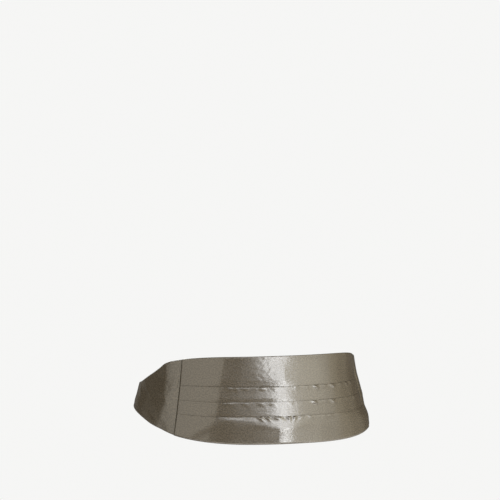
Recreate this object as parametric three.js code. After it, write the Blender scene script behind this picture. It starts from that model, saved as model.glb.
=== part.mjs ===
// A pleated satin cummerbund, in the form that it takes round the waist.
// The front panel is one cloth folded into knife pleats that open upwards. A tapered wing is sewn to
// each end of it, and from each wing a strap runs on round the back, where it loops through the clasp.
// Millimetres, +Z up. The front faces -Y and the wearer's right side is at -X. The origin is the centre
// of the waist, at the middle of the front panel's height to within a few millimetres.

import * as THREE from 'three';

// The waist that the band goes round: an ellipse that grows downwards
const waistHalfWidth = 170;     // half the width from side to side, at the origin's level
const waistHalfDepth = 115;     // half the depth from front to back, at the origin's level
const sideFlare = 0.283;        // growth of the half width for each millimetre down
const frontFlare = 0.12;        // growth of the half depth for each millimetre down

// The front panel
const panelHalfLength = 159.5;  // along the waist, from the front centre to the foot of a seam
const frontRise = 59.5;         // the top edge above the origin, at the front centre
const frontDrop = 62.5;         // the bottom edge below the origin, at the front centre
const seamRise = 55;            // the top edge above the origin, at a seam
const seamDrop = 48.3;          // the bottom edge below the origin, at a seam
const seamLean = 9;             // how much further back a seam's head lies than its foot
const seamCurve = 1.6;          // the seam leans more towards its head, by this power of the height
const topEdgeCurve = 5.5;       // the top edge stays level and then falls, by this power of the length
const bottomEdgeCurve = 3.35;   // the bottom edge rises towards the seams, by this power of the length
const foldCurve = 2.2;          // the fold lines rise towards the seams, by this power of the length
const panelCloth = 1;           // thickness of the folded cloth
const layerGap = 0.4;           // air between the layers of a pleat
const settleShare = 0.9;        // of the way from a pleat's foot to the next fold, where it lies flat again

// The pleats, from the top. frontLevel and seamLevel are the places of the folded edge, as shares of
// the panel's height from its top edge. hidden is the depth of the pleat behind that edge, as a share
// of the face that shows below it.
const PLEATS = [
  { frontLevel: 0.348, seamLevel: 0.344, hidden: 0.52 },
  { frontLevel: 0.520, seamLevel: 0.534, hidden: 0.52 },
  { frontLevel: 0.686, seamLevel: 0.715, hidden: 0.32 },
];

// The wings
const wingLength = 103.5;       // along the waist, from a seam's foot to the strap
const wingCloth = 1.6;          // two layers of cloth, sewn together
const seamGap = 0.3;            // clearance between pieces that are sewn or fitted together

// The taper of a wing. along is a share of its length. rise and drop are shares of what the edges
// still stand above and below those of the strap.
const WING_TAPER = [
  { along: 0.00, rise: 1.00, drop: 1.00 },
  { along: 0.10, rise: 0.96, drop: 0.89 },
  { along: 0.20, rise: 0.91, drop: 0.77 },
  { along: 0.29, rise: 0.81, drop: 0.67 },
  { along: 0.37, rise: 0.67, drop: 0.58 },
  { along: 0.48, rise: 0.50, drop: 0.44 },
  { along: 0.61, rise: 0.33, drop: 0.29 },
  { along: 0.76, rise: 0.16, drop: 0.15 },
  { along: 0.89, rise: 0.05, drop: 0.05 },
  { along: 1.00, rise: 0.00, drop: 0.00 },
];

// Soft drag folds of a wing, each a low ridge along a slanting line. along and level are the middle of
// the ridge, slant its fall from front to back, length and width its size, all as shares of the wing's
// length or of its height there. swell is its height as a share of the cloth's thickness.
const DRAG_FOLDS = [
  { along: 0.22, level: 0.50, slant: -0.10, length: 0.10, width: 0.60, swell: 0.9 },
  { along: 0.52, level: 0.62, slant: 0.45, length: 0.30, width: 0.10, swell: 0.8 },
  { along: 0.62, level: 0.30, slant: 0.40, length: 0.34, width: 0.12, swell: 0.6 },
];

// The straps
const strapWidth = 32;
const strapLevel = 2;           // middle of the strap above the origin
const strapCloth = 1.6;
const strapReturn = 26;         // length that is turned back at the clasp and sewn down
const strapSlope = 12;          // length over which a strap climbs on to its own turned end

// The clasp, a plate with a slot for each strap
const claspWidth = 46;
const claspHeight = 41;
const claspPlate = 3;           // thickness
const claspBar = 3.5;           // width of the bar that a strap goes round
const slotPlay = 0.6;           // room in a slot above and below the strap

// How finely the pieces are divided
const panelSteps = 36;
const foldSteps = 4;
const wingSteps = 18;
const wingRows = 10;
const strapStep = 9;            // length of the strap's steps, where it only follows the waist
const loopSteps = 8;
const girthSteps = 1440;

// Length along the waist from the front centre at the origin's level, added up over small angles
const girthTable = [0];
for (let i = 1; i <= girthSteps; i += 1) {
  const angle = (Math.PI * (i - 0.5)) / girthSteps;
  const slope = Math.hypot(waistHalfWidth * Math.cos(angle), waistHalfDepth * Math.sin(angle));
  girthTable.push(girthTable[i - 1] + (slope * Math.PI) / girthSteps);
}
const halfGirth = girthTable[girthSteps];

// The ellipse's angle from the front centre at a length along the waist. A length past the back centre
// runs on at the last step's rate.
function angleAt(along) {
  const length = Math.abs(along);
  const found = girthTable.findIndex((value) => value > length);
  const i = found < 0 ? girthSteps : found;
  const part = (length - girthTable[i - 1]) / (girthTable[i] - girthTable[i - 1]);
  return (Math.sign(along) * Math.PI * (i - 1 + part)) / girthSteps;
}

// The point of the waist at a length along it and a height, moved outwards by a distance
function waistPoint(along, height, out) {
  const angle = angleAt(along);
  const halfWidth = waistHalfWidth - sideFlare * height;
  const halfDepth = waistHalfDepth - frontFlare * height;
  const outward = new THREE.Vector2(Math.sin(angle) / halfWidth, -Math.cos(angle) / halfDepth);
  outward.normalize();
  return new THREE.Vector3(
    halfWidth * Math.sin(angle) + outward.x * out,
    -halfDepth * Math.cos(angle) + outward.y * out,
    height,
  );
}

function mix(from, to, share) {
  return from + (to - from) * share;
}

// A smooth curve through a table's rows: the value of a column where another column has a given value
function readTable(table, key, at, column) {
  const last = table.length - 1;
  let i = 0;
  while (i < last - 1 && table[i + 1][key] < at) i += 1;
  const before = table[Math.max(i - 1, 0)];
  const after = table[Math.min(i + 2, last)];
  const low = table[i];
  const high = table[i + 1];
  const step = high[key] - low[key];
  const lowSlope = (high[column] - before[column]) / (high[key] - before[key]);
  const highSlope = (after[column] - low[column]) / (after[key] - low[key]);
  const t = (at - low[key]) / step;
  const curve = (2 * t - 3) * t * t;
  return low[column] * (curve + 1) - high[column] * curve
    + step * t * (1 - t) * ((1 - t) * lowSlope - t * highSlope);
}

// A closed solid from a grid of rows and columns, where each place has a face point and a back point.
// isOpen says which cells are left out, as slots.
function sheetSolid(grid, isOpen = () => false) {
  const rows = grid.length;
  const columns = grid[0].length;
  const positions = [];
  for (const row of grid) {
    for (const place of row) positions.push(...place.face.toArray(), ...place.back.toArray());
  }
  const corner = (i, j, side) => (i * columns + j) * 2 + side;
  const solid = (i, j) => i >= 0 && j >= 0 && i < rows - 1 && j < columns - 1 && !isOpen(i, j);
  const quads = [];
  for (let i = 0; i < rows; i += 1) {
    for (let j = 0; j < columns; j += 1) {
      if (solid(i, j)) {
        quads.push([corner(i, j, 0), corner(i + 1, j, 0), corner(i + 1, j + 1, 0), corner(i, j + 1, 0)]);
        quads.push([corner(i, j, 1), corner(i, j + 1, 1), corner(i + 1, j + 1, 1), corner(i + 1, j, 1)]);
      }
      if (j < columns - 1 && solid(i, j) !== solid(i - 1, j)) {
        const wall = [corner(i, j, 0), corner(i, j + 1, 0), corner(i, j + 1, 1), corner(i, j, 1)];
        quads.push(solid(i, j) ? wall : wall.reverse());
      }
      if (i < rows - 1 && solid(i, j) !== solid(i, j - 1)) {
        const wall = [corner(i, j, 1), corner(i + 1, j, 1), corner(i + 1, j, 0), corner(i, j, 0)];
        quads.push(solid(i, j) ? wall : wall.reverse());
      }
    }
  }
  const triangles = quads.flatMap(([a, b, c, d]) => [a, b, c, a, c, d]);
  const geometry = new THREE.BufferGeometry();
  geometry.setAttribute('position', new THREE.Float32BufferAttribute(positions, 3));
  geometry.setIndex(volumeOf(positions, triangles) < 0 ? triangles.reverse() : triangles);
  geometry.computeVertexNormals();
  return geometry;
}

// Six times the volume inside the triangles, negative where they point inwards
function volumeOf(positions, triangles) {
  const at = (i) => new THREE.Vector3().fromArray(positions, triangles[i] * 3);
  let volume = 0;
  for (let i = 0; i < triangles.length; i += 3) volume += at(i).dot(at(i + 1).cross(at(i + 2)));
  return volume;
}

// The two sides of a cloth whose middle line is a list of [x, y], square to that line
function sidesOfLine(line, thickness) {
  const direction = (i) => {
    const from = line[Math.max(i - 1, 0)];
    const to = line[Math.min(i + 1, line.length - 1)];
    return new THREE.Vector2(to[0] - from[0], to[1] - from[1]).normalize();
  };
  return line.map(([x, y], i) => {
    const along = direction(i);
    const half = thickness / 2;
    return {
      face: [x - along.y * half, y + along.x * half],
      back: [x + along.y * half, y - along.x * half],
    };
  });
}

// Points on a half circle that turns from one layer of cloth to the next
function halfTurn(centre, radius, startAngle, turn, steps) {
  const points = [];
  for (let i = 0; i <= steps; i += 1) {
    const angle = startAngle + (turn * Math.PI * i) / steps;
    points.push([centre[0] + radius * Math.cos(angle), centre[1] + radius * Math.sin(angle)]);
  }
  return points;
}

// The place of a seam along the waist, at a height
function seamAt(height) {
  const share = Math.max(0, (height + seamDrop) / (seamRise + seamDrop));
  return panelHalfLength + seamLean * share ** seamCurve;
}

// The middle line of the folded cloth, from the top edge to the bottom edge, as [out, height], at a
// share of the length from the front centre to a seam
function pleatedLine(share) {
  const top = mix(frontRise, seamRise, share ** topEdgeCurve);
  const bottom = -mix(frontDrop, seamDrop, share ** bottomEdgeCurve);
  const levelOf = (pleat) => top
    - (top - bottom) * mix(pleat.frontLevel, pleat.seamLevel, share ** foldCurve);
  const pitch = panelCloth + layerGap;
  const turn = pitch / 2;
  const inner = panelCloth / 2;
  const levels = [...PLEATS.map(levelOf), bottom];
  const line = [[inner, top], [inner, mix(top, levels[0], 0.5)], [inner, levels[0]]];
  PLEATS.forEach((pleat, i) => {
    const fold = levels[i];
    const foot = fold - pleat.hidden * (fold - levels[i + 1]);
    const settle = mix(foot, levels[i + 1], settleShare);
    line.push(...halfTurn([inner + turn, foot + turn], turn, Math.PI, 1, foldSteps));
    line.push([inner + pitch, mix(foot, fold, 0.5)]);
    line.push(...halfTurn([inner + pitch + turn, fold - turn], turn, Math.PI, -1, foldSteps));
    line.push([inner + 2 * pitch, mix(fold, foot, 0.5)]);
    line.push([inner + 2 * pitch, foot]);
    line.push([inner + pitch, mix(foot, settle, 0.5)]);
    line.push([inner, settle]);
  });
  line.push([inner, mix(line.at(-1)[1], bottom, 0.5)], [inner, bottom]);
  return line;
}

function frontPanel() {
  const grid = [];
  for (let i = 0; i <= panelSteps; i += 1) {
    const share = (2 * i) / panelSteps - 1;
    const place = ([out, height]) => waistPoint(share * seamAt(height), height, out);
    const sides = sidesOfLine(pleatedLine(Math.abs(share)), panelCloth);
    grid.push(sides.map(({ face, back }) => ({ face: place(face), back: place(back) })));
  }
  return sheetSolid(grid);
}

// How far the drag folds lift a wing's face, at shares of its length and height
function dragSwell(along, level) {
  return DRAG_FOLDS.reduce((sum, fold) => {
    const run = (along - fold.along) / fold.length;
    const offset = (level - fold.level + fold.slant * (along - fold.along)) / fold.width;
    return sum + fold.swell * wingCloth * Math.exp(-run * run - offset * offset);
  }, 0);
}

function wing(side) {
  const end = panelHalfLength + wingLength;
  const strapTop = strapLevel + strapWidth / 2;
  const strapFoot = strapLevel - strapWidth / 2;
  const grid = [];
  for (let i = 0; i <= wingSteps; i += 1) {
    const along = i / wingSteps;
    const top = mix(strapTop, seamRise, readTable(WING_TAPER, 'along', along, 'rise'));
    const bottom = mix(strapFoot, -seamDrop, readTable(WING_TAPER, 'along', along, 'drop'));
    const row = [];
    for (let j = 0; j <= wingRows; j += 1) {
      const level = j / wingRows;
      const height = mix(bottom, top, level);
      const place = side * mix(seamAt(height) + seamGap, end, along);
      const swell = dragSwell(along, level);
      row.push({
        face: waistPoint(place, height, wingCloth + swell),
        back: waistPoint(place, height, swell),
      });
    }
    grid.push(row);
  }
  return sheetSolid(grid);
}

// The middle line of a strap as [distance from the back centre, out]: along the waist, up on to its own
// turned end, over the clasp's bar, round it through the slot and back underneath
function strapLine() {
  const start = halfGirth - panelHalfLength - wingLength - seamGap;
  const barFace = claspWidth / 2 - claspBar;
  const lying = strapCloth / 2;
  const riding = lying + strapCloth + seamGap;
  const loopRadius = claspPlate / 2 + seamGap + strapCloth / 2;
  const overBar = lying + 2 * loopRadius;
  const returnEnd = barFace + strapReturn;
  const line = [];
  const steps = Math.max(1, Math.round((start - returnEnd - strapSlope) / strapStep));
  for (let i = 0; i <= steps; i += 1) line.push([mix(start, returnEnd + strapSlope, i / steps), lying]);
  const climbTop = claspWidth / 2 + strapCloth;
  const climbFoot = climbTop + overBar - riding;
  line.push([returnEnd + seamGap, riding], [mix(returnEnd, climbFoot, 0.5), riding]);
  line.push([climbFoot, riding], [climbTop, overBar]);
  line.push(...halfTurn([barFace, lying + loopRadius], loopRadius, Math.PI / 2, 1, loopSteps));
  line.push([mix(barFace, returnEnd, 0.5), lying], [returnEnd, lying]);
  return line;
}

function strap(side) {
  const levels = [strapLevel - strapWidth / 2, strapLevel, strapLevel + strapWidth / 2];
  const place = ([fromBack, out], height) => waistPoint(side * (halfGirth - fromBack), height, out);
  const grid = sidesOfLine(strapLine(), strapCloth).map(({ face, back }) => levels.map((height) => ({
    face: place(face, height),
    back: place(back, height),
  })));
  return sheetSolid(grid);
}

function clasp() {
  const bar = claspWidth / 2 - claspBar;
  const slot = claspPlate / 2 + strapCloth + 2 * seamGap;
  const columns = [-claspWidth / 2, -bar, slot - bar, 0, bar - slot, bar, claspWidth / 2];
  const slotHalf = strapWidth / 2 + slotPlay;
  const rows = [-claspHeight / 2, -slotHalf, 0, slotHalf, claspHeight / 2];
  const inner = strapCloth + seamGap;
  const grid = rows.map((level) => columns.map((fromBack) => ({
    face: waistPoint(halfGirth + fromBack, strapLevel + level, inner + claspPlate),
    back: waistPoint(halfGirth + fromBack, strapLevel + level, inner),
  })));
  const isSlot = (i, j) => (i === 1 || i === 2) && (j === 1 || j === 4);
  return sheetSolid(grid, isSlot);
}

const satin = new THREE.MeshStandardMaterial({ color: 0x8f877b, roughness: 0.42, metalness: 0.2 });
const webbing = new THREE.MeshStandardMaterial({ color: 0x6f675b, roughness: 0.8, metalness: 0 });
const metal = new THREE.MeshStandardMaterial({ color: 0x9a958c, roughness: 0.35, metalness: 1 });

function piece(name, geometry, material) {
  const mesh = new THREE.Mesh(geometry, material);
  mesh.name = name;
  return mesh;
}

const cummerbund = new THREE.Group();
cummerbund.add(
  piece('front_panel', frontPanel(), satin),
  piece('wing_right', wing(-1), satin),
  piece('wing_left', wing(1), satin),
  piece('strap_right', strap(-1), webbing),
  piece('strap_left', strap(1), webbing),
  piece('clasp', clasp(), metal),
);

export default cummerbund;
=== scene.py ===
import math

import bpy
import numpy as np
from bpy.props import FloatProperty, FloatVectorProperty, PointerProperty
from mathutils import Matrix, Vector


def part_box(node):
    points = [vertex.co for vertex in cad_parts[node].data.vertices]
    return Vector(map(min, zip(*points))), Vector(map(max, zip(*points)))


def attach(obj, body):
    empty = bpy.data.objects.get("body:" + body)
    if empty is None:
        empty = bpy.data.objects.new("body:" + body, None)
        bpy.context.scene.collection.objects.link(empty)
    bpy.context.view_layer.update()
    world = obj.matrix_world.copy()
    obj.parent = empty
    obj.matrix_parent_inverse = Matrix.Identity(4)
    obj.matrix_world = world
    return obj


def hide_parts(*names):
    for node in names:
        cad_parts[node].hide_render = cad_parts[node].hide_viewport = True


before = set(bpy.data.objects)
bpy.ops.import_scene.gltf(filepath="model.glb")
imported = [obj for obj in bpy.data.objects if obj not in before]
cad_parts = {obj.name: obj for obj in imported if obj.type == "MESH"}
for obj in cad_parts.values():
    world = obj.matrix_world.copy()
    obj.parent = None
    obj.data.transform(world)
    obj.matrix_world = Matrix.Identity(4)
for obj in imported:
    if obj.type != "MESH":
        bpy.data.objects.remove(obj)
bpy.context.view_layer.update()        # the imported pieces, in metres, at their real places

bl_info = {
    "name": "Pleated cummerbund",
    "version": (1, 0, 0),
    "blender": (4, 5, 0),
    "location": "3D View > Sidebar > Cummerbund",
    "description": "A satin cummerbund with knife pleats, wings, straps and a clasp, in a pale studio",
    "category": "Object",
}

PANEL_LOW, PANEL_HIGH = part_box("front_panel")
WING_LOW, WING_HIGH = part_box("wing_left")
STRAP_LOW, STRAP_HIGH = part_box("strap_left")
CLOTH_UV = "cloth"
SIDES = ((-1, "right"), (1, "left"))
MM = 0.001
SEAM_SINK = 1.6         # how far the panel's end drops to the wing that it overlaps, in millimetres
FOLD_STAND = 0.24       # how far a folded edge stands off the face behind it, in millimetres
CLOTH_ROW = 1.15        # height of a row of the front panel's grid, in millimetres
VALLEY = 1.2            # how far above a fold its face dips to the fold's foot, in millimetres

# The pleats, from the top. front_level and seam_level are the places of the folded edge, as shares of
# the panel's height from its top edge. hidden is the depth behind that edge, as a share of the face
# that shows below it.
PLEATS = (
    {"front_level": 0.348, "seam_level": 0.344, "hidden": 0.34},
    {"front_level": 0.519, "seam_level": 0.533, "hidden": 0.34},
    {"front_level": 0.684, "seam_level": 0.714, "hidden": 0.28},
)

# The taper of a wing. along is a share of its length. rise and drop are shares of what its edges still
# stand above and below those of the strap.
WING_TAPER = {
    "along": (0.00, 0.10, 0.20, 0.29, 0.37, 0.48, 0.61, 0.76, 0.89, 1.00),
    "rise": (1.00, 0.96, 0.91, 0.81, 0.67, 0.50, 0.33, 0.16, 0.05, 0.00),
    "drop": (1.00, 0.89, 0.77, 0.67, 0.58, 0.44, 0.29, 0.15, 0.05, 0.00),
}

# The puckers along each folded edge, where its stitching pulls. from and to are lengths along the waist
# from the front centre, in millimetres; wave is their spacing, lift their height and depth how far down
# they reach. start shifts the waves along the edge; patchy is how much their height changes along it.
FOLD_PUCKERS = (
    {"fold": 1, "from": -100, "to": 150, "wave": 8.5, "lift": 0.12,
     "depth": 2.2, "start": 2.0, "patchy": 0.9},
    {"fold": 1, "from": -106, "to": -20, "wave": 7.0, "lift": 0.15,
     "depth": 3.6, "start": 1.0, "patchy": 1.0},
    {"fold": 2, "from": -100, "to": 145, "wave": 10.0, "lift": 0.10,
     "depth": 2.0, "start": 7.0, "patchy": 0.9},
    {"fold": 2, "from": -106, "to": -20, "wave": 8.0, "lift": 0.12,
     "depth": 3.2, "start": 4.0, "patchy": 1.0},
    {"fold": 3, "from": -60, "to": 22, "wave": 14.0, "lift": 0.85,
     "depth": 4.4, "start": 3.0, "patchy": 0.0},
    {"fold": 3, "from": 10, "to": 120, "wave": 11.0, "lift": 0.12,
     "depth": 2.4, "start": 0.0, "patchy": 0.8},
)

# Single tucks that stand out of the folded edges: lengths along the waist and heights, in millimetres.
FOLD_TUCKS = {
    1: ((-93, 0.4), (-83, 0.4), (-69, 0.5), (-57, 0.3), (-45, 0.75), (-27, 0.5), (9, 0.5), (28, 0.5),
        (43, 1.9), (60, 0.6), (76, 2.1), (96, 0.9), (111, 1.0), (127, 0.9)),
    2: ((-98, 0.35), (-89, 0.35), (-68, 0.45), (-46, 0.6), (-29, 0.45), (-3, 0.3), (37, 1.9),
        (58, 0.5), (71, 1.8), (104, 0.7), (127, 0.7)),
    3: ((29, 0.9), (38, 0.4), (52, 0.7), (62, 0.6), (84, 0.3), (108, 0.3), (132, 0.5)),
}
TUCK_HALF_WIDTH = 4.2
TUCK_DEPTH = 4.0
TUCK_SLANT = 0.6            # how far a tuck runs along the waist for each millimetre down
EDGE_HELD = 0.35            # the share of its puckers that shows right at a folded edge
EDGE_FREE = 2.6             # how far below the edge they show in full

# Soft upright ridges and creases in the front panel's faces, in millimetres. band counts the faces from
# the top; along is a ridge's place at the origin's level and lean how far it moves for each millimetre
# up; before and after are its half widths and rise is its height. start and full are how far below the
# face's upper edge it begins and reaches that height.
PANEL_RIDGES = (
    {"band": 0, "along": -106, "lean": 0.08, "before": 9, "after": 9, "rise": 0.34,
     "sharp": True, "start": -1, "full": 0},
    {"band": 1, "along": -104, "lean": 0, "before": 9, "after": 9, "rise": 0.34,
     "sharp": True, "start": -1, "full": 0},
    {"band": 2, "along": -105, "lean": 0, "before": 9, "after": 9, "rise": 0.34,
     "sharp": True, "start": -1, "full": 0},
    {"band": 3, "along": -98, "lean": 0.3, "before": 11, "after": 11, "rise": 0.25,
     "sharp": True, "start": -1, "full": 0},
    {"band": 3, "along": -84, "lean": 1.1, "before": 34, "after": 15, "rise": 1.3,
     "sharp": False, "start": 2, "full": 20},
    {"band": 0, "along": -9, "lean": 0, "before": 60, "after": 16, "rise": 0.7,
     "sharp": True, "start": 2, "full": 28},
    {"band": 1, "along": -30, "lean": 0, "before": 50, "after": 30, "rise": 0.6,
     "sharp": False, "start": -1, "full": 0},
    {"band": 2, "along": -2, "lean": 0, "before": 16, "after": 20, "rise": -0.22,
     "sharp": False, "start": -1, "full": 0},
    {"band": 3, "along": -19, "lean": 0, "before": 12, "after": 45, "rise": 0.75,
     "sharp": True, "start": 2, "full": 20},
)

# The crest of a wing's belly, in millimetres. level is above the origin, along is measured from the
# seam's foot and rise is how far the crest stands out.
WING_CREST = {
    "level": (-48, -36, -25, -14, -4, 2, 8, 14, 28, 42, 56),
    "along": (30, 27, 24, 20, 18, 19.5, 23, 23.5, 24, 27.5, 30),
    "rise": (0.1, 0.15, 0.2, 0.4, 0.8, 0.9, 1.2, 1.3, 1.5, 2.0, 2.4),
}
CREST_WIDTHS = (15, 9)      # how far the belly reaches towards the seam and towards the back
CREST_FALL = 1.4            # how fast a sharp crest falls off
WING_DRAWN = 2.6            # how far a wing's lower edge is drawn in

# Folds that the strap's pull draws in a wing, in millimetres. along is measured from the seam's foot,
# level from the origin; slant is how far a fold drops for each millimetre towards the back.
WING_FOLDS = (
    {"along": 22, "level": -24, "slant": -1.1, "length": 16, "width": 3.5, "rise": 0.30},
    {"along": 32, "level": -34, "slant": -1.0, "length": 14, "width": 3, "rise": 0.30},
    {"along": 44, "level": -24, "slant": -0.9, "length": 14, "width": 3.5, "rise": 0.30},
    {"along": 17, "level": -2, "slant": -1.1, "length": 8, "width": 2.2, "rise": 0.45},
    {"along": 7, "level": 20, "slant": 6.0, "length": 16, "width": 6.5, "rise": 0.7},
    {"along": 58, "level": 12, "slant": -0.8, "length": 9, "width": 2.6, "rise": 0.8},
    {"along": 78, "level": 10, "slant": -1.2, "length": 9, "width": 2.8, "rise": 0.9},
    {"along": 72, "level": -8, "slant": -0.7, "length": 14, "width": 3.0, "rise": 0.45},
    {"along": 90, "level": -5, "slant": -0.4, "length": 26, "width": 10, "rise": 2.0},
)

# Where a form begins, is full, begins to fade and ends, in millimetres: lengths along the waist from the
# front centre, or levels. The belly's are counted downwards.
SPANS = {
    "crest": (-85, -12, -2, 46),
    "wide_ledge": (-95, -52, -36, -16),
    "ledge": (-110, -76, 10, 70),
    "cloud": (-75, -45, -30, -12),
    "brow": (-104, -56, 20, 150),
    "belly_levels": (-60, 26, 26, 66),
    "drawn": (70, 165, 200, 262),
    "drawn_levels": (-34, -18, 24, 66),
}

# The lowest face below its folded edge, in millimetres. It swells down to the crest, which lies near the
# edge at both ends and deeper in the middle, and falls back below it. A ledge follows the edge.
CREST_REACH = (2, 17)       # the crest below the edge, at its ends and in the middle
CREST_ROUND = 1.5
CREST_SLOPES = (0.06, 0.075)
LEDGE_RISES = (0.34, 0.56)  # where the ledge is narrow and where it is wide
LEDGE_DEPTHS = (2.2, 4.8)
LEDGE_FADE = (10, 36)
LEDGE_WAVES = {"rise": 0.12, "length": 15, "depth": 5}

# Broad forms of the cloth as worn, in millimetres
BELLY_RISE = 2.0
SIDE_DRAWN = 3.2            # how far the side is drawn in above the hip
BROW = {"rise": 1.3, "middle": -37, "turn": 24, "levels": (16, 54)}
CLOUD = {"rise": 0.09, "length": 11, "levels": (8, 30)}
HEM_PRESS = {"depth": 0.3, "levels": (0.6, 2.2)}

# The clasp and the straps' turned ends, in millimetres
CLASP_WIDTH = 46
CLASP_HEIGHT = 41
CLASP_PLATE = 3
CLASP_BAR = 3.5             # width of the bar that a strap goes round
SLOT_WIDTH = 3.7
SLOT_PLAY = 0.6             # room in a slot above and below the strap
STRAP_RETURN = 26           # length that is turned back at the clasp
STRAP_GAP = 0.4             # air between a strap and what it lies on
STRAP_LIE = 0.8             # a strap's middle line above the waist


class BandSizes(bpy.types.PropertyGroup):
    """Sizes of the cummerbund as worn"""

    waist_half_width: FloatProperty(
        name="Waist half width", description="Half the waist's width at the origin's level",
        default=0.170, unit="LENGTH")
    waist_half_depth: FloatProperty(
        name="Waist half depth", description="Half the waist's depth at the origin's level",
        default=0.115, unit="LENGTH")
    side_flare: FloatProperty(
        name="Side flare", description="Growth of the half width for each metre down", default=0.283)
    front_flare: FloatProperty(
        name="Front flare", description="Growth of the half depth for each metre down", default=0.12)
    panel_half_length: FloatProperty(
        name="Panel half length", description="From the front centre to a seam's foot",
        default=0.1595, unit="LENGTH")
    front_rise: FloatProperty(
        name="Front rise", description="Top edge above the origin at the front centre",
        default=PANEL_HIGH.z, unit="LENGTH")
    front_drop: FloatProperty(
        name="Front drop", description="Bottom edge below the origin at the front centre",
        default=-PANEL_LOW.z, unit="LENGTH")
    seam_rise: FloatProperty(
        name="Seam rise", description="Top edge above the origin at a seam",
        default=WING_HIGH.z, unit="LENGTH")
    seam_drop: FloatProperty(
        name="Seam drop", description="Bottom edge below the origin at a seam",
        default=-WING_LOW.z, unit="LENGTH")
    seam_lean: FloatProperty(
        name="Seam lean", description="How much further back a seam's head lies than its foot",
        default=0.009, unit="LENGTH")
    wing_length: FloatProperty(
        name="Wing length", description="From a seam's foot to the strap", default=0.1035, unit="LENGTH")
    strap_width: FloatProperty(
        name="Strap width", description="Width of the webbing",
        default=STRAP_HIGH.z - STRAP_LOW.z, unit="LENGTH")
    strap_level: FloatProperty(
        name="Strap level", description="Middle of the strap above the origin",
        default=(STRAP_HIGH.z + STRAP_LOW.z) / 2, unit="LENGTH")
    cloth: FloatProperty(
        name="Cloth", description="Thickness of the satin with its interlining",
        default=0.0002, unit="LENGTH")
    fold_pitch: FloatProperty(
        name="Fold pitch", description="From one layer of a pleat to the next", default=0.00024,
        unit="LENGTH")
    hem: FloatProperty(
        name="Hem", description="Depth of the hems that are turned under", default=0.011, unit="LENGTH")
    hem_roll: FloatProperty(
        name="Hem roll", description="Radius of the rolled edges", default=0.0008, unit="LENGTH")
    webbing: FloatProperty(
        name="Webbing", description="Thickness of the straps", default=0.0014, unit="LENGTH")


class SatinFinish(bpy.types.PropertyGroup):
    """Colours and gloss of the satin, the webbing and the clasp"""

    satin: FloatVectorProperty(
        name="Satin", description="Colour of the satin away from its sheen", subtype="COLOR",
        default=(0.095, 0.076, 0.051), size=3)
    webbing: FloatVectorProperty(
        name="Webbing", description="Colour of the straps", subtype="COLOR",
        default=(0.20, 0.175, 0.138), size=3)
    metal: FloatVectorProperty(
        name="Metal", description="Colour of the clasp", subtype="COLOR",
        default=(0.42, 0.40, 0.37), size=3)
    roughness: FloatProperty(
        name="Roughness", description="Roughness of the satin's sheen", default=0.20)


class StudioSettings(bpy.types.PropertyGroup):
    """Camera, floor and light"""

    azimuth: FloatProperty(
        name="Azimuth", description="Camera's place round the band", default=math.radians(-29),
        subtype="ANGLE")
    distance: FloatProperty(
        name="Distance", description="Camera's level distance from the origin", default=6.334,
        unit="LENGTH")
    height: FloatProperty(
        name="Height", description="Camera's height above the origin", default=0.4736, unit="LENGTH")
    aim: FloatProperty(
        name="Aim", description="Height of the point that the camera looks at", default=0.203,
        unit="LENGTH")
    lens: FloatProperty(name="Lens", description="Focal length in millimetres", default=322.7)
    floor_drop: FloatProperty(
        name="Floor drop", description="Floor below the origin, as under a standing wearer",
        default=1.05, unit="LENGTH")


def deselect_all():
    if bpy.context.mode != "OBJECT":
        bpy.ops.object.mode_set(mode="OBJECT")
    bpy.ops.object.select_all(action="DESELECT")


def select_only(piece):
    deselect_all()
    piece.select_set(True)
    bpy.context.view_layer.objects.active = piece


def add_modifier(piece, kind, **settings):
    """Adds a modifier with these settings and applies it"""
    select_only(piece)
    modifier = piece.modifiers.new(kind.title(), kind)
    for key, value in settings.items():
        setattr(modifier, key, value)
    bpy.ops.object.modifier_apply(modifier=modifier.name)


def mix(low, high, share):
    return low + (high - low) * share


def smooth_step(low, high, value):
    t = np.clip((value - low) / (high - low), 0, 1)
    return t * t * (3 - 2 * t)


def span(name, place):
    """1 in the middle of a named span and 0 outside it"""
    start, full, fading, end = (length * MM for length in SPANS[name])
    return smooth_step(start, full, place) * (1 - smooth_step(fading, end, place))


def sharp_crest(offset, height, roundness):
    """A ridge that falls off from a narrow, slightly rounded crest, for squares of the distance to it"""
    return np.exp(height - np.sqrt(roundness + CREST_FALL * offset))


def read_table(table, key, at, column):
    """A smooth curve through a table: a column's values where another column has these values"""
    keys, values = np.array(table[key]), np.array(table[column])
    slopes = np.gradient(values, keys)
    i = np.clip(np.searchsorted(keys, at, side="right") - 1, 0, len(keys) - 2)
    step = keys[i + 1] - keys[i]
    t = (at - keys[i]) / step
    curve = (2 * t - 3) * t * t
    bend = step * t * (1 - t) * ((1 - t) * slopes[i] - t * slopes[i + 1])
    return values[i] * (curve + 1) - values[i + 1] * curve + bend


def waist_lengths(sizes):
    """Angles of the ellipse from the front centre to past the back, and the waist's length to each"""
    angles = np.linspace(0, 1.2 * math.pi, 1729)
    middles = (angles[1:] + angles[:-1]) / 2
    steps = np.hypot(sizes.waist_half_width * np.cos(middles), sizes.waist_half_depth * np.sin(middles))
    return angles, np.concatenate([[0], np.cumsum(steps * angles[1])])


def waist_angle(sizes, along):
    """The ellipse's angle from the front centre at a length along the waist"""
    angles, lengths = waist_lengths(sizes)
    return np.sign(along) * np.interp(np.abs(along), lengths, angles)


def half_girth(sizes):
    """Length along the waist from the front centre to the back centre"""
    angles, lengths = waist_lengths(sizes)
    return float(np.interp(math.pi, angles, lengths))


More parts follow.
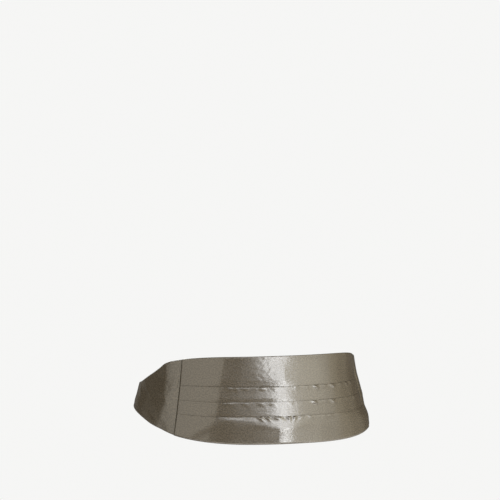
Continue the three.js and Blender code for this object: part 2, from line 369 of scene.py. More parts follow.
def waist_points(sizes, along, height, out):
    """Points of the waist at a length along it and a height, moved outwards"""
    angle = waist_angle(sizes, along)
    width = sizes.waist_half_width - sizes.side_flare * height
    depth = sizes.waist_half_depth - sizes.front_flare * height
    across, forward = np.sin(angle) / width, -np.cos(angle) / depth
    scale = out / np.hypot(across, forward)
    return np.stack([
        width * np.sin(angle) + across * scale,
        -depth * np.cos(angle) + forward * scale,
        height + np.zeros_like(angle),
    ], axis=-1)


def cut_cloth(name, columns, rows):
    """A flat grid of cloth, and the column and row that each of its points belongs to"""
    deselect_all()
    bpy.ops.mesh.primitive_grid_add(x_subdivisions=columns, y_subdivisions=rows, size=1)
    cloth = bpy.context.object
    cloth.name = cloth.data.name = name
    places = np.empty(len(cloth.data.vertices) * 3)
    cloth.data.vertices.foreach_get("co", places)
    places = places.reshape(-1, 3) + 0.5
    column = np.rint(places[:, 0] * columns).astype(int)
    row = np.rint(places[:, 1] * rows).astype(int)
    return cloth, column, row


def lay_cloth(cloth, points, flat):
    """Moves the cloth's points to their places and gives it a UV map in metres of the flat cloth"""
    mesh = cloth.data
    mesh.vertices.foreach_set("co", points.astype(np.float32).ravel())
    mesh.uv_layers[0].name = CLOTH_UV
    corners = np.empty(len(mesh.loops), dtype=np.int32)
    mesh.loops.foreach_get("vertex_index", corners)
    mesh.uv_layers[0].data.foreach_set("uv", flat[corners].astype(np.float32).ravel())
    mesh.update()


def finish_cloth(cloth, thickness, material, nodes):
    """Gives a laid cloth its thickness, finish and place in the model"""
    add_modifier(cloth, "SOLIDIFY", thickness=thickness, offset=0, use_rim=True)
    select_only(cloth)
    bpy.ops.object.shade_smooth_by_angle(angle=math.radians(50))
    cloth.data.materials.clear()
    cloth.data.materials.append(material)
    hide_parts(*nodes)
    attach(cloth, "root")


def path_length(out, height):
    """Length along a path from its start, for a path of [row, column] places, at its middle column"""
    middle = out.shape[1] // 2
    steps = np.hypot(np.diff(out[:, middle]), np.diff(height[:, middle]))
    return np.concatenate([[0], np.cumsum(steps)])


def seam_place(sizes, height):
    """Length along the waist to a seam, at a height"""
    share = np.maximum(0, (height + sizes.seam_drop) / (sizes.seam_rise + sizes.seam_drop))
    return sizes.panel_half_length + sizes.seam_lean * share ** 1.6


class ClothPath:
    """Rows of a folded cloth, one below the other, for all of its columns"""

    def __init__(self, columns):
        self.columns = columns
        self.out, self.height, self.band, self.shown = [], [], [], []

    def add(self, out, height, band=0, shown=0):
        self.out.append(out + np.zeros(self.columns))
        self.height.append(height + np.zeros(self.columns))
        self.band.append(band)
        self.shown.append(shown)

    def turn(self, out, height, radius, start, sweep, steps, band=0, shown=(0, 0)):
        """Half a turn round a centre, from one layer to the next"""
        for i in range(steps + 1):
            angle = start + sweep * math.pi * i / steps
            share = mix(shown[0], shown[1], i / steps)
            self.add(out + radius * np.cos(angle), height + radius * np.sin(angle), band, share)

    def arrays(self):
        """Distance out and height of each point, then the face and the shown share of each row"""
        rows = np.array(self.out), np.array(self.height)
        return (*rows, np.array(self.band)[:, None], np.array(self.shown, dtype=float)[:, None])


def panel_levels(sizes, share):
    """Heights of the top edge, the three folded edges and the bottom edge"""
    top = mix(sizes.front_rise, sizes.seam_rise, share ** 5.5)
    bottom = -mix(sizes.front_drop, sizes.seam_drop, share ** 3.35)
    folds = [
        top - (top - bottom) * mix(pleat["front_level"], pleat["seam_level"], share ** 2.2)
        for pleat in PLEATS
    ]
    return [top, *folds, bottom]


def pucker_lift(row, along, below):
    """How far the puckers of a folded edge stand out, at lengths along it and distances below it"""
    low, high, wave, depth = (row[key] * MM for key in ("from", "to", "wave", "depth"))
    ends = smooth_step(low, low + 12 * MM, along) * (1 - smooth_step(high - 16 * MM, high, along))
    drawn = -0.9 * np.tanh((along + 2 * MM) / (8 * MM)) if row["lift"] > 0.3 else 0.5
    place = along - drawn * below - row["start"] * MM
    turn = 2 * math.pi * place / wave
    swell = np.sin(turn + 1.3 * np.sin(turn / 3.1)) + 0.5 * row["patchy"] * np.sin(1.57 * turn + 2.0)
    patches = np.clip(0.5 + 0.8 * uneven(place, 0 * place, 2.4 * wave), 0, 1.6)
    patches = mix(1, patches, row["patchy"])
    return row["lift"] * MM * ends * patches * np.exp(-(below / depth) ** 2) * (0.4 + swell)


def uneven(along, height, wave):
    """A smooth uneven swell between about -1 and 1, with waves of about this length"""
    a, h = along * 2 * math.pi / wave, height * 2 * math.pi / wave
    return (
        np.sin(a + 1.3 * np.sin(0.7 * h + 0.4)) + np.sin(0.62 * a - 0.93 * h + 2.1)
        + np.sin(0.35 * a + 1.21 * h + 1.1 * np.sin(0.5 * a)) + 0.7 * np.sin(1.7 * a - 1.1 * h + 0.3)
    ) / 2.6


def ridge_lift(row, along, height, head):
    """How far an upright ridge stands out of a face whose upper edge is at this height"""
    middle = row["along"] * MM + row["lean"] * height
    width = np.where(along < middle, row["before"], row["after"]) * MM
    offset = ((along - middle) / width) ** 2
    ridge = sharp_crest(offset, 0.14, 0.02) if row["sharp"] else np.exp(-offset)
    return row["rise"] * MM * ridge * smooth_step(row["start"] * MM, row["full"] * MM, head - height)


def edge_lift(fold, along, below):
    """How far the puckers and tucks of a folded edge stand out, at distances below it"""
    lift = np.zeros_like(along)
    for row in FOLD_PUCKERS:
        if row["fold"] == fold:
            lift += pucker_lift(row, along, below)
    for place, rise in FOLD_TUCKS[fold]:
        across = (along - place * MM - TUCK_SLANT * below) / (TUCK_HALF_WIDTH * MM)
        lift += rise * MM * np.exp(-across ** 2 - (below / (TUCK_DEPTH * MM)) ** 2)
    return lift * mix(EDGE_HELD, 1, smooth_step(0, EDGE_FREE * MM, below))


def ledge_lift(along, below):
    """The crest and the ledge of the lowest face, at distances below its folded edge"""
    start, full, fading, end = (length * MM for length in SPANS["crest"])
    left, right = smooth_step(start, full, along), 1 - smooth_step(fading, end, along)
    reach = mix(*CREST_REACH, np.minimum(left ** 0.8, right)) * MM
    past = np.sqrt((below - reach) ** 2 + (CREST_ROUND * MM) ** 2)
    rise, fall = CREST_SLOPES
    crest = 0.5 * (below + reach - past) * rise - 0.5 * (below - reach + past) * fall
    wide = span("wide_ledge", along)
    waves = LEDGE_WAVES["rise"] * uneven(along, 0 * along, LEDGE_WAVES["length"] * MM)
    waves = waves * np.exp(-(below / (LEDGE_WAVES["depth"] * MM)) ** 2)
    ledge = span("ledge", along) * (mix(*LEDGE_RISES, wide) + waves) * MM
    ledge = ledge * (1 - np.exp(-(below / (mix(*LEDGE_DEPTHS, wide) * MM)) ** 2))
    fade = 1 - smooth_step(*(depth * MM for depth in LEDGE_FADE), below)
    return crest * left * right + ledge * fade


def cloud_lift(along, height):
    """Uneven swells in the top face, where its sheen breaks up"""
    levels = (level * MM for level in CLOUD["levels"])
    cloud = span("cloud", along) * smooth_step(*levels, height)
    return CLOUD["rise"] * MM * cloud * uneven(along, height, CLOUD["length"] * MM)


def cloth_swell(along, height):
    """Faint swells all over the front panel, calmer at the wearer's right"""
    broad = 0.012 * MM * uneven(along + height * 0.3, height * 0.6, 17 * MM)
    calm = mix(0.004, 0.012, smooth_step(-112 * MM, -96 * MM, along))
    return broad + calm * MM * uneven(along, height, 8 * MM)


def panel_lift(along, height, band, levels):
    """How far the shown faces of the front panel stand out from where they would lie flat"""
    lift = cloth_swell(along, height)
    for row in PANEL_RIDGES:
        ridge = ridge_lift(row, along, height, levels[row["band"]])
        lift += np.where(band == row["band"], ridge, 0)
    for fold in FOLD_TUCKS:
        below = np.maximum(0, levels[fold] - height)
        lift += np.where(band == fold, edge_lift(fold, along, below), 0)
    hem = (level * MM for level in HEM_PRESS["levels"])
    pressed = HEM_PRESS["depth"] * MM * (1 - smooth_step(*hem, height - levels[4]))
    below = np.maximum(0, levels[3] - height)
    lift += np.where(band == 3, ledge_lift(along, below) - pressed, 0)
    return lift + np.where(band == 0, cloud_lift(along, height), 0)


def worn_form(along, height):
    """How far all layers of the cloth follow the wearer: a belly low down at the front, a side that is
    drawn in above the hip, and a swell and a hollow side by side in the top face"""
    near_seam = 1 - smooth_step(165 * MM, 240 * MM, np.abs(along))
    belly = BELLY_RISE * span("belly_levels", -height) * near_seam
    drawn = SIDE_DRAWN * span("drawn", along) * span("drawn_levels", height)
    levels = (level * MM for level in BROW["levels"])
    turn = -np.tanh((along - BROW["middle"] * MM) / (BROW["turn"] * MM))
    brow = BROW["rise"] * span("brow", along) * turn * smooth_step(*levels, height)
    return (belly - drawn + brow) * MM


def panel_path(sizes, share, along):
    """The folded cloth of the front panel, from its top hem to its bottom hem"""
    levels = panel_levels(sizes, share)
    for fold in (1, 2, 3):
        calm = smooth_step(-110 * MM, -80 * MM, along)
        levels[fold] = levels[fold] + calm * 0.22 * MM * uneven(along, along * 0 + fold, 23 * MM)
    pitch, turn = sizes.fold_pitch, sizes.fold_pitch / 2
    inner, roll = sizes.cloth, sizes.hem_roll
    path = ClothPath(len(share))
    top, bottom = levels[0], levels[-1]
    for drop in np.linspace(sizes.hem, roll, 5)[:-1]:
        path.add(inner, top - drop)
    path.turn(inner + roll, top - roll, roll, math.pi, -1, 8, 0, (0, 1))
    for band in range(4):
        head, foot = levels[band], levels[band + 1]
        start = roll if band == 0 else turn
        raised = 2 * roll if band == 0 else 2 * pitch + FOLD_STAND * MM
        last = band == 3
        rest = 2 * roll if last else 0
        tall = float(np.mean(head - foot))
        steps = int(round(tall / (CLOTH_ROW * MM)))
        valley = 1 - VALLEY * MM / tall
        for place in np.linspace(0, 1, steps + 1)[1:]:
            sunk = place if last else 0.85 * place + 0.15 * smooth_step(valley, 1.0, place)
            height = mix(head - start, foot + (roll if last else 0), place)
            shown = 1 if last else 1 - smooth_step(0.75, 1.0, place)
            path.add(inner + mix(raised, rest, sunk), height, band, shown)
        if last:
            continue
        depth = PLEATS[band]["hidden"] * (levels[band + 1] - levels[band + 2])
        for part in (0.25, 0.5, 0.75):
            path.add(inner, foot - part * (depth - turn), band)
        path.turn(inner + turn, foot - depth + turn, turn, math.pi, 1, 4, band + 1)
        for part in (0.33, 0.67):
            path.add(inner + pitch, mix(foot - depth + turn, foot - turn, part), band + 1)
        head_turn = (pitch + FOLD_STAND * MM) / 2
        path.turn(inner + pitch + head_turn, foot - turn, head_turn, math.pi, -1, 8, band + 1, (0, 1))
    path.turn(inner + roll, bottom + roll, roll, 0, -1, 8, 3, (1, 0))
    for rise in (0.4, 0.7, 1.0):
        path.add(inner, bottom + rise * sizes.hem, 3)
    return levels, path.arrays()


def make_front_panel(sizes, material):
    """One cloth from seam to seam, folded into three pleats"""
    columns = 224
    marks = np.array([0, 8, 68, 156, 216, 224])
    edge = 3 * MM / sizes.panel_half_length
    stops = np.interp(np.arange(columns + 1), marks, [-1, edge - 1, -0.34, 0.30, 1 - edge, 1])
    share = np.abs(stops)
    levels, (out, height, band, shown) = panel_path(sizes, share, stops * sizes.panel_half_length)
    along = stops * seam_place(sizes, height)
    out = out + shown * panel_lift(along, height, band, levels)
    from_seam = seam_place(sizes, height) * (1 - share)
    sunk = np.exp(-(from_seam / (1.4 * MM)) ** 2)
    out = mix(out, -SEAM_SINK * MM, sunk) + worn_form(along, height)
    rows = len(out) - 1
    cloth, column, row = cut_cloth("front_panel_satin", columns, rows)
    points = waist_points(sizes, along, height, out)
    down = path_length(out, height)
    flat = np.stack([stops[column] * sizes.panel_half_length, -down[row]], axis=-1)
    lay_cloth(cloth, points[row, column], flat)
    finish_cloth(cloth, sizes.cloth, material, ["front_panel"])


def wing_lift(share, height, sizes):
    """How far the drag folds stand out of a wing's face"""
    along = share * sizes.wing_length
    level = np.clip(height / MM, WING_CREST["level"][0], WING_CREST["level"][-1])
    crest, rise = (read_table(WING_CREST, "level", level, key) * MM for key in ("along", "rise"))
    width = np.where(along < crest, *CREST_WIDTHS) * MM
    lift = rise * sharp_crest(((along - crest) / width) ** 2, 0.28, 0.08)
    lift += 0.02 * MM * uneven(along, height, 13 * MM)
    for row in WING_FOLDS:
        lean = math.atan2(-row["slant"], 1)
        across = along - row["along"] * MM
        down = height - row["level"] * MM
        run = across * math.cos(lean) + down * math.sin(lean)
        offset = down * math.cos(lean) - across * math.sin(lean)
        shape = np.exp(-(run / (row["length"] * MM)) ** 2 - (offset / (row["width"] * MM)) ** 2)
        lift += row["rise"] * MM * shape
    lift -= WING_DRAWN * MM * smooth_step(0, 56 * MM, -height) * smooth_step(0, 20 * MM, along)
    return lift * smooth_step(0, 5 * MM, along) * (1 - smooth_step(0.86, 1, share))


def make_wing(sizes, material, side, label):
    """One cloth folded round a wing's inside, from its seam to the strap"""
    columns, dense = 96, 8
    edge = 3 * MM / sizes.wing_length
    share = np.interp(np.arange(columns + 1), [0, dense, columns], [0, edge, 1])
    strap_top = sizes.strap_level + sizes.strap_width / 2
    strap_foot = sizes.strap_level - sizes.strap_width / 2
    top = mix(strap_top, sizes.seam_rise, read_table(WING_TAPER, "along", share, "rise"))
    bottom = mix(strap_foot, -sizes.seam_drop, read_table(WING_TAPER, "along", share, "drop"))
    inner, turn = sizes.cloth, sizes.hem_roll * 0.8
    path = ClothPath(columns + 1)
    for part in np.linspace(0.5, 1, 9)[:-1]:
        path.add(inner, mix(bottom, top - turn, part))
    path.turn(inner + turn, top - turn, turn, math.pi, -1, 8, shown=(0, 1))
    for place in np.linspace(0, 1, 90)[1:-1]:
        path.add(inner + 2 * turn, mix(top - turn, bottom + turn, place), shown=1)
    path.turn(inner + turn, bottom + turn, turn, 0, -1, 8, shown=(1, 0))
    for part in np.linspace(0, 0.49, 9)[1:]:
        path.add(inner, mix(bottom + turn, top, part))
    out, height = path.arrays()[:2]
    out = out + wing_lift(share, height, sizes)
    end = sizes.panel_half_length + sizes.wing_length
    seam = seam_place(sizes, height) - 0.8 * MM
    along = mix(seam, end, share)
    sunk = np.exp(-(along - seam) / (7 * MM))
    out = out - SEAM_SINK * MM * sunk + worn_form(side * along, height)
    cloth, column, row = cut_cloth(f"wing_{label}_satin", columns, len(out) - 1)
    points = waist_points(sizes, side * along, height, out)
    down = path_length(out, height)
    flat = np.stack([side * mix(sizes.panel_half_length, end, share[column]), -down[row]], axis=-1)
    lay_cloth(cloth, points[row, column], flat)
    finish_cloth(cloth, sizes.cloth, material, [f"wing_{label}"])


def loop_radius(sizes):
    """Radius of a strap's turn round its bar, at the strap's middle line"""
    return CLASP_PLATE / 2 * MM + STRAP_GAP * MM + sizes.webbing / 2


def strap_path(sizes):
    """The strap's middle line, as distance from the back centre and distance out"""
    girth = half_girth(sizes)
    start = girth - sizes.panel_half_length - sizes.wing_length - 0.3 * MM
    bar_face, bar_end = (CLASP_WIDTH / 2 - CLASP_BAR) * MM, CLASP_WIDTH / 2 * MM
    lying, radius = STRAP_LIE * MM, loop_radius(sizes)
    riding = lying + sizes.webbing + STRAP_GAP * MM
    over = lying + 2 * radius
    return_end = bar_face + STRAP_RETURN * MM
    backs = [*np.linspace(start, return_end + 12 * MM, 60)]
    outs = [lying] * 60
    for part in np.linspace(0, 1, 9)[1:]:
        backs.append(mix(return_end + 12 * MM, return_end + 2 * MM, part))
        outs.append(mix(lying, riding, smooth_step(0, 1, part)))
    for part in np.linspace(0, 1, 12)[1:]:
        backs.append(mix(return_end + 2 * MM, bar_end + 6 * MM, part))
        outs.append(riding)
    for part in np.linspace(0, 1, 9)[1:]:
        backs.append(mix(bar_end + 6 * MM, bar_end - MM, part))
        outs.append(mix(riding, over, smooth_step(0, 0.9, part)))
    for i in range(17):
        angle = math.pi / 2 + math.pi * i / 16
        backs.append(bar_face + radius * math.cos(angle))
        outs.append(lying + radius + radius * math.sin(angle))
    for part in np.linspace(0, 1, 20)[1:]:
        backs.append(mix(bar_face, return_end, part))
        outs.append(lying)
    return np.array(backs), np.array(outs)


def make_strap(sizes, material, side, label):
    """Webbing from a wing round the back to the clasp, and back on itself"""
    backs, outs = strap_path(sizes)
    run = np.concatenate([[0], np.cumsum(np.hypot(np.diff(backs), np.diff(outs)))])
    rows = 10
    cloth, column, row = cut_cloth(f"strap_{label}_webbing", len(backs) - 1, rows)
    level = sizes.strap_level + sizes.strap_width * (row / rows - 0.5)
    along = side * (half_girth(sizes) - backs[column])
    lay_cloth(cloth, waist_points(sizes, along, level, outs[column]),
              np.stack([run[column], level], axis=-1))
    finish_cloth(cloth, sizes.webbing, material, [f"strap_{label}"])


def make_clasp(sizes, material):
    """A plate with a slot for each strap, bent to the waist"""
    inner = (CLASP_WIDTH / 2 - CLASP_BAR) * MM
    slot = SLOT_WIDTH * MM
    slot_half = sizes.strap_width / 2 + SLOT_PLAY * MM
    deselect_all()
    bpy.ops.mesh.primitive_plane_add(size=1)
    plate = bpy.context.object
    plate.name = plate.data.name = "clasp_plate"
    plate.scale = (CLASP_WIDTH * MM, CLASP_HEIGHT * MM, 1)
    bpy.ops.object.transform_apply(location=False, rotation=False, scale=True)
    bpy.ops.object.mode_set(mode="EDIT")
    cuts = [((x, 0, 0), (1, 0, 0)) for x in (-inner, slot - inner, inner - slot, inner)]
    cuts += [((0, y, 0), (0, 1, 0)) for y in (-slot_half, slot_half)]
    for place, normal in cuts:
        bpy.ops.mesh.select_all(action="SELECT")
        bpy.ops.mesh.bisect(plane_co=place, plane_no=normal)
    bpy.ops.mesh.select_mode(type="FACE")
    bpy.ops.mesh.select_all(action="DESELECT")
    bpy.ops.object.mode_set(mode="OBJECT")
    for face in plate.data.polygons:
        middle = face.center
        face.select = inner - slot < abs(middle.x) < inner and abs(middle.y) < slot_half
    bpy.ops.object.mode_set(mode="EDIT")
    bpy.ops.mesh.delete(type="FACE")
    bpy.ops.object.mode_set(mode="OBJECT")
    add_modifier(plate, "SOLIDIFY", thickness=CLASP_PLATE * MM, offset=0)
    add_modifier(plate, "BEVEL", width=0.7 * MM, segments=3, limit_method="ANGLE",
                 angle_limit=math.radians(50))
    places = np.empty(len(plate.data.vertices) * 3)
    plate.data.vertices.foreach_get("co", places)
    places = places.reshape(-1, 3)
    out = STRAP_LIE * MM + loop_radius(sizes) + places[:, 2]
    along = half_girth(sizes) + places[:, 0]
    points = waist_points(sizes, along, sizes.strap_level + places[:, 1], out)
    plate.data.vertices.foreach_set("co", points.astype(np.float32).ravel())
    plate.data.update()
    select_only(plate)
    bpy.ops.object.mode_set(mode="EDIT")
    bpy.ops.mesh.select_all(action="SELECT")
    bpy.ops.mesh.normals_make_consistent(inside=False)
    bpy.ops.object.mode_set(mode="OBJECT")
    bpy.ops.object.shade_smooth_by_angle(angle=math.radians(40))
    plate.data.materials.clear()
    plate.data.materials.append(material)
    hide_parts("clasp")
    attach(plate, "root")


class NodeTree:
    """A short way to add and join the nodes of a material or a world"""

    def __init__(self, owner, shader="Principled BSDF", output="Material Output"):
        owner.use_nodes = True
        self.owner = owner
        self.tree = owner.node_tree
        self.shader = self.tree.nodes[shader]
        self.surface = self.tree.nodes[output].inputs["Surface"]

    def add(self, kind, inputs=(), **settings):
        """A new node with these settings, and values or other nodes' outputs for its inputs"""
        node = self.tree.nodes.new(kind)
        for key, value in settings.items():
            setattr(node, key, value)
        for key, value in dict(inputs).items():
            self.feed(node.inputs[key], value)
        return node

    def feed(self, socket, value):
        """Joins a socket to another node's output, or sets its value"""
        if isinstance(value, bpy.types.NodeSocket):
            self.tree.links.new(value, socket)
        else:
            socket.default_value = value

    def set(self, **values):
        for key, value in values.items():
            self.feed(self.shader.inputs[key.replace("_", " ")], value)

    def maths(self, operation, *values):
        return self.add("ShaderNodeMath", enumerate(values), operation=operation).outputs["Value"]

    def noise(self, place, scale, detail):
        """Noise at a place, with as many waves for each metre as scale says for each direction"""
        stretch = self.add("ShaderNodeMapping", {"Vector": place, "Scale": scale})
        texture = self.add("ShaderNodeTexNoise", {
            "Vector": stretch.outputs["Vector"], "Scale": 1, "Detail": detail})
        return texture.outputs["Fac"]

    def remap(self, value, before, after):
        """A value from one range, moved to another and held inside it"""
        return self.add("ShaderNodeMapRange", {
            "Value": value, "From Min": before[0], "From Max": before[1],
            "To Min": after[0], "To Max": after[1]}).outputs["Result"]

    def colour(self, colour, darkest, lightest, value):
        """Varies the finish between a darker and a lighter shade of a colour"""
        shade = self.add("ShaderNodeMixRGB", {
            "Color1": (*(darkest * part for part in colour), 1),
            "Color2": (*(lightest * part for part in colour), 1), "Fac": value})
        self.set(Base_Color=shade.outputs["Color"])

    def relief(self, height, strength, distance):
        """Gives the finish a fine relief"""
        bump = self.add("ShaderNodeBump", {"Height": height, "Strength": strength, "Distance": distance})
        self.set(Normal=bump.outputs["Normal"])

    def show(self, seen):
        """Shows the camera another shader, while this tree's own one gives the light"""
        path = self.add("ShaderNodeLightPath")
        choose = self.add("ShaderNodeMixShader", {
            0: path.outputs["Is Camera Ray"], 1: self.shader.outputs[0], 2: seen.outputs[0]})
        self.feed(self.surface, choose.outputs["Shader"])


def satin_material(finish):
    """Satin with slubs, a fine grain and a colour that varies from thread to thread"""
    nodes = NodeTree(bpy.data.materials.new("champagne_satin"))
    nodes.set(IOR=1.92, Anisotropic=0.15, Anisotropic_Rotation=0.25,
              Sheen_Weight=0.01, Sheen_Roughness=0.4)
    place = nodes.add("ShaderNodeUVMap", uv_map=CLOTH_UV).outputs["UV"]
    tangent = nodes.add("ShaderNodeTangent", direction_type="UV_MAP", uv_map=CLOTH_UV)
    slubs = nodes.noise(place, (90, 620, 1), 0)
    grain = nodes.noise(place, (420, 480, 1), 1)
    mottling = nodes.noise(place, (230, 300, 1), 1)
    threads = nodes.remap(nodes.noise(place, (560, 620, 1), 1), (0.38, 0.62), (0, 1))
    gloss = (finish.roughness - 0.01, finish.roughness + 0.05)
    nodes.set(Tangent=tangent.outputs["Tangent"], Roughness=nodes.remap(grain, (0.32, 0.68), gloss))
    nodes.colour(finish.satin, 0.68, 1.32, threads)
    nodes.relief(nodes.maths("MULTIPLY_ADD", slubs, 0.09, mottling), 0.5, 0.00024)
    return nodes.owner


def webbing_material(finish):
    """Ribbed webbing: ribs across the strap, crossed by threads along it"""
    nodes = NodeTree(bpy.data.materials.new("ribbed_webbing"))
    nodes.set(Roughness=0.72, Sheen_Weight=0.25, Sheen_Roughness=0.5)
    place = nodes.add("ShaderNodeUVMap", uv_map=CLOTH_UV).outputs["UV"]
    split = nodes.add("ShaderNodeSeparateXYZ", {"Vector": place})
    ribs, warp = (
        nodes.maths("SINE", nodes.maths("MULTIPLY", split.outputs[axis], 2 * math.pi / (pitch * MM)))
        for axis, pitch in (("X", 1.3), ("Y", 0.9))
    )
    fibres = nodes.noise(place, (900, 900, 900), 2)
    nodes.colour(finish.webbing, 0.72, 1.2, nodes.maths("MULTIPLY_ADD", ribs, 0.22, fibres))
    weave = nodes.maths("MULTIPLY_ADD", nodes.maths("MULTIPLY", ribs, warp), 0.35, ribs)
    nodes.relief(weave, 0.8, 0.00025)
    return nodes.owner


def metal_material(finish):
    """Brushed metal: fine scratches along the plate"""
    nodes = NodeTree(bpy.data.materials.new("brushed_nickel"))
    place = nodes.add("ShaderNodeTexCoord").outputs["Object"]
    scratches = nodes.noise(place, (60, 60, 5200), 4)
    nodes.set(Base_Color=(*finish.metal, 1), Metallic=1.0,
              Roughness=nodes.remap(scratches, (0, 1), (0.26, 0.46)))
    nodes.relief(scratches, 0.25, 0.00005)
    return nodes.owner


def floor_material():
    """A pale floor that lights the band from below, less so far away"""
    nodes = NodeTree(bpy.data.materials.new("pale_floor"))
    place = nodes.add("ShaderNodeTexCoord").outputs["Object"]
    distance = nodes.add("ShaderNodeVectorMath", {0: place}, operation="LENGTH").outputs["Value"]
    nodes.set(Base_Color=(0.3, 0.3, 0.3, 1), Roughness=0.9, Emission_Color=(1, 1, 0.99, 1),
              Emission_Strength=nodes.remap(distance, (7, 14), (0.4, 0.08)))
    nodes.show(nodes.add("ShaderNodeEmission", {"Color": BACKDROP}))
    return nodes.owner


# The softboxes round the band: a name, the azimuths of a box's sides in degrees from the front, the
# heights of its lower and upper edge above the origin, and how bright its face is. The first word of
# the name says which tint its light has.
SOFTBOXES = (
    ("key_upper", 14.2, 29.2, 0.27, 1.1, 4.9),
    ("key_lower", 19.6, 28.2, -0.5, 0.27, 7.6),
    ("key_edge", 4, 14.2, 0.27, 1.1, 1.6),
    ("key_fade", -11, 4, 0.27, 1.1, 0.5),
    ("key_top", -20, 36, 1.1, 2.0, 2.5),
    ("fill_near", 29.2, 46, 0.27, 2.2, 1.8),
    ("fill_middle", 46, 58, 0.27, 2.2, 1.65),
    ("fill_far", 58, 68, 0.27, 2.2, 1.05),
    ("fill_near_low", 28.2, 50, -0.6, 0.27, 1.3),
    ("fill_far_low", 50, 66, -0.6, 0.27, 0.85),
    ("dusk_near", 68, 80, 0.27, 2.2, 0.62),
    ("dusk_near_low", 66, 80, -0.6, 0.27, 0.5),
    ("dusk_far", 80, 100, -0.6, 2.2, 0.24),
    ("side_far", -140, -98, -0.8, 0.75, 0.14),
    ("side_edge", -98, -88, -0.8, 0.75, 0.45),
    ("side_low", -140, -88, -1.0, -0.8, 1.0),
    ("side_left", -88, -26.5, 0.1, 2.6, 0.85),
    ("low_left", -62, -10, -1.0, -0.62, 2.0),
    ("low_front", -10, 42, -1.0, -0.62, 2.0),
    ("low_right", 42, 94, -1.0, -0.62, 1.6),
    ("rear_left", 172, 200, 0.0, 1.6, 0.10),
    ("rear", 168, 216, 3.0, 4.2, 14.0),
)
SOFTBOX_TINTS = {
    "key": (0.98, 0.99, 1.0), "fill": (1.0, 0.965, 0.83), "dusk": (1.0, 0.92, 0.70),
    "side": (1.0, 0.95, 0.83), "low": (1.0, 0.97, 0.90), "rear": (1.0, 0.97, 0.9),
}
SOFTBOX_DISTANCE = 3.0
BACKDROP = (0.92, 0.92, 0.91, 1)
DARK_ROOM = (0.06, 0.056, 0.05, 1)


def make_lights():
    for name, left, right, low, high, glow in SOFTBOXES:
        middle = math.radians((left + right) / 2)
        half = math.radians((right - left) / 2)
        data = bpy.data.lights.new(name, "AREA")
        data.shape = "RECTANGLE"
        data.size = 2 * SOFTBOX_DISTANCE * math.tan(half)
        data.size_y = high - low
        data.energy = glow * 4 * data.size * data.size_y
        data.color = SOFTBOX_TINTS[name.split("_")[0]]
        light = bpy.data.objects.new(name, data)
        bpy.context.scene.collection.objects.link(light)
        level = (high + low) / 2
        outward = Vector((math.sin(middle), -math.cos(middle), 0))
        light.location = outward * SOFTBOX_DISTANCE + Vector((0, 0, level))
        light.rotation_euler = (-outward).to_track_quat("-Z", "Y").to_euler()
        light.visible_camera = False


def make_world():
    world = bpy.data.worlds.new("studio")
    bpy.context.scene.world = world
    nodes = NodeTree(world, "Background", "World Output")
    nodes.set(Color=DARK_ROOM)
    nodes.show(nodes.add("ShaderNodeBackground", {"Color": BACKDROP}))


def make_floor(studio):
    deselect_all()
    bpy.ops.mesh.primitive_plane_add(size=800, location=(0, 0, -studio.floor_drop))
    floor = bpy.context.object
    floor.name = floor.data.name = "studio_floor"
    bpy.ops.object.transform_apply(location=True, rotation=False, scale=False)
    floor.data.materials.append(floor_material())


def make_camera(studio):
    data = bpy.data.cameras.new("camera")
    data.lens = studio.lens
    data.sensor_width = 36
    data.clip_end = 2000
    camera = bpy.data.objects.new("camera", data)
    bpy.context.scene.collection.objects.link(camera)
    outward = Vector((math.sin(studio.azimuth), -math.cos(studio.azimuth), 0))
    camera.location = outward * studio.distance + Vector((0, 0, studio.height))
    aim = Vector((0, 0, studio.aim))
    camera.rotation_euler = (aim - camera.location).to_track_quat("-Z", "Y").to_euler()
    bpy.context.scene.camera = camera


class CUMMERBUND_OT_front_panel(bpy.types.Operator):
    """Fold the satin of the front panel into its pleats"""

    bl_idname = "cummerbund.front_panel"
    bl_label = "Front Panel"

    def execute(self, context):
        make_front_panel(context.scene.band_sizes, satin_material(context.scene.satin_finish))
        return {"FINISHED"}


class CUMMERBUND_OT_wings(bpy.types.Operator):
    """Make the two tapered wings"""

    bl_idname = "cummerbund.wings"
    bl_label = "Wings"

    def execute(self, context):
        material = bpy.data.materials["champagne_satin"]
        for side, label in SIDES:
            make_wing(context.scene.band_sizes, material, side, label)
        return {"FINISHED"}


class CUMMERBUND_OT_straps(bpy.types.Operator):
    """Make the two straps that loop through the clasp"""

    bl_idname = "cummerbund.straps"
    bl_label = "Straps"

    def execute(self, context):
        material = webbing_material(context.scene.satin_finish)
        for side, label in SIDES:
            make_strap(context.scene.band_sizes, material, side, label)
        return {"FINISHED"}


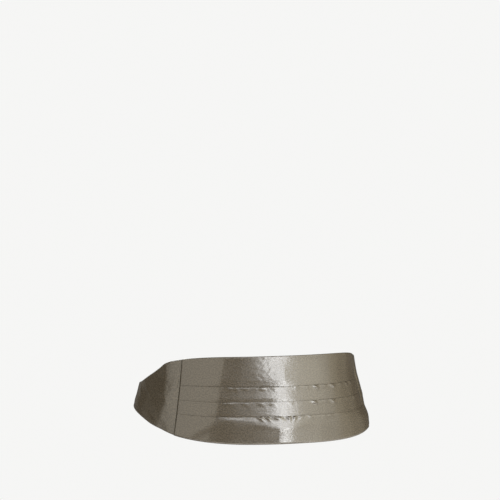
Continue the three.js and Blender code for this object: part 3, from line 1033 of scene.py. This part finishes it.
class CUMMERBUND_OT_clasp(bpy.types.Operator):
    """Make the clasp's slotted plate"""

    bl_idname = "cummerbund.clasp"
    bl_label = "Clasp"

    def execute(self, context):
        make_clasp(context.scene.band_sizes, metal_material(context.scene.satin_finish))
        return {"FINISHED"}


class CUMMERBUND_OT_stage(bpy.types.Operator):
    """Set up the floor, the lights and the camera"""

    bl_idname = "cummerbund.stage"
    bl_label = "Studio"

    def execute(self, context):
        studio = context.scene.studio_settings
        make_world()
        make_floor(studio)
        make_lights()
        make_camera(studio)
        context.scene.view_settings.view_transform = "Standard"
        return {"FINISHED"}


OPERATORS = (
    CUMMERBUND_OT_front_panel,
    CUMMERBUND_OT_wings,
    CUMMERBUND_OT_straps,
    CUMMERBUND_OT_clasp,
    CUMMERBUND_OT_stage,
)


class CUMMERBUND_PT_panel(bpy.types.Panel):
    """Buttons and sizes of the cummerbund"""

    bl_label = "Cummerbund"
    bl_space_type = "VIEW_3D"
    bl_region_type = "UI"
    bl_category = "Cummerbund"

    def draw(self, context):
        layout = self.layout
        for operator in OPERATORS:
            layout.operator(operator.bl_idname)
        for group in ("band_sizes", "satin_finish", "studio_settings"):
            settings = getattr(context.scene, group)
            for name in settings.__annotations__:
                layout.prop(settings, name)


CLASSES = (BandSizes, SatinFinish, StudioSettings, *OPERATORS, CUMMERBUND_PT_panel)


def register():
    for item in CLASSES:
        bpy.utils.register_class(item)
    bpy.types.Scene.band_sizes = PointerProperty(type=BandSizes)
    bpy.types.Scene.satin_finish = PointerProperty(type=SatinFinish)
    bpy.types.Scene.studio_settings = PointerProperty(type=StudioSettings)


def unregister():
    del bpy.types.Scene.band_sizes
    del bpy.types.Scene.satin_finish
    del bpy.types.Scene.studio_settings
    for item in reversed(CLASSES):
        bpy.utils.unregister_class(item)


def main():
    register()
    bpy.ops.cummerbund.front_panel()
    bpy.ops.cummerbund.wings()
    bpy.ops.cummerbund.straps()
    bpy.ops.cummerbund.clasp()
    bpy.ops.cummerbund.stage()


if __name__ == "__main__":
    main()
